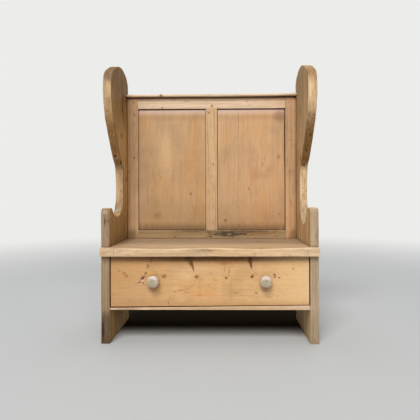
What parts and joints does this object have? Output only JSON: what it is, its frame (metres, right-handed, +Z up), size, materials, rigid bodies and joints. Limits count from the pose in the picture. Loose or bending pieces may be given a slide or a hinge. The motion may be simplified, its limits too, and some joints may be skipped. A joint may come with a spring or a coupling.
{
  "type": "settle bench",
  "caption": "High-backed wooden settle bench with shaped wing sides, a panelled back, a plank seat and a long drawer with turned knobs under the seat.",
  "frame": {"origin": "middle of the footprint, on the floor", "axes": "+Z up, the bench faces -Y, +X to the right of someone who looks at its front"},
  "size_m": [0.99, 0.402, 1.3273],
  "materials": {
    "side_pine": "old waxed pine, worn and greyed at the edges",
    "seat_pine": "old waxed pine, dulled by use",
    "frame_pine": "pale waxed pine",
    "panel_pine": "warm waxed pine, satin",
    "drawer_pine": "golden waxed pine with knots",
    "bare_pine": "bare pine, matt",
    "knob_wood": "turned pale wood, bleached by handling",
    "iron": "dark forged iron"
  },
  "bodies": {
    "bench": {"left_side": "side_pine", "right_side": "side_pine", "seat_front_board": "seat_pine", "seat_rear_board": "seat_pine", "front_rail": "drawer_pine", "left_runner": "bare_pine", "right_runner": "bare_pine", "left_drawer_stop": "bare_pine", "right_drawer_stop": "bare_pine", "back_left_stile": "frame_pine", "back_right_stile": "frame_pine", "back_top_rail": "frame_pine", "back_bottom_rail": "frame_pine", "back_muntin": "frame_pine", "back_cap": "frame_pine", "panel_left": "panel_pine", "panel_right_narrow_board": "panel_pine", "panel_right_wide_board": "panel_pine", "lower_back_bottom_board": "bare_pine", "lower_back_top_board": "bare_pine", "peg_top_left": "frame_pine", "peg_top_right": "frame_pine", "peg_bottom_left": "frame_pine", "peg_bottom_right": "frame_pine", "peg_muntin_top": "frame_pine", "peg_muntin_bottom": "frame_pine", "cap_nail_1": "iron", "cap_nail_2": "iron", "cap_nail_3": "iron", "left_seat_nail_1": "iron", "left_seat_nail_2": "iron", "right_seat_nail_1": "iron", "right_seat_nail_2": "iron", "left_stile_nail_1": "iron", "left_stile_nail_2": "iron", "right_stile_nail_1": "iron", "right_stile_nail_2": "iron", "left_lower_back_nail_1": "iron", "left_lower_back_nail_2": "iron", "right_lower_back_nail_1": "iron", "right_lower_back_nail_2": "iron", "left_runner_nail_1": "iron", "left_runner_nail_2": "iron", "right_runner_nail_1": "iron", "right_runner_nail_2": "iron", "left_stop_nail": "iron", "right_stop_nail": "iron"},
    "drawer": {"drawer_front": "drawer_pine", "drawer_left_side": "bare_pine", "drawer_right_side": "bare_pine", "drawer_back": "bare_pine", "drawer_floor_left": "bare_pine", "drawer_floor_middle": "bare_pine", "drawer_floor_right": "bare_pine", "left_knob": "knob_wood", "right_knob": "knob_wood", "drawer_floor_nail_1": "iron", "drawer_floor_nail_2": "iron", "drawer_floor_nail_3": "iron"}
  },
  "joints": [
    {"name": "drawer_slide", "type": "slide", "parent": "bench", "child": "drawer", "axis": [0, -1, 0], "range_m": [0, 0.25]}
  ]
}
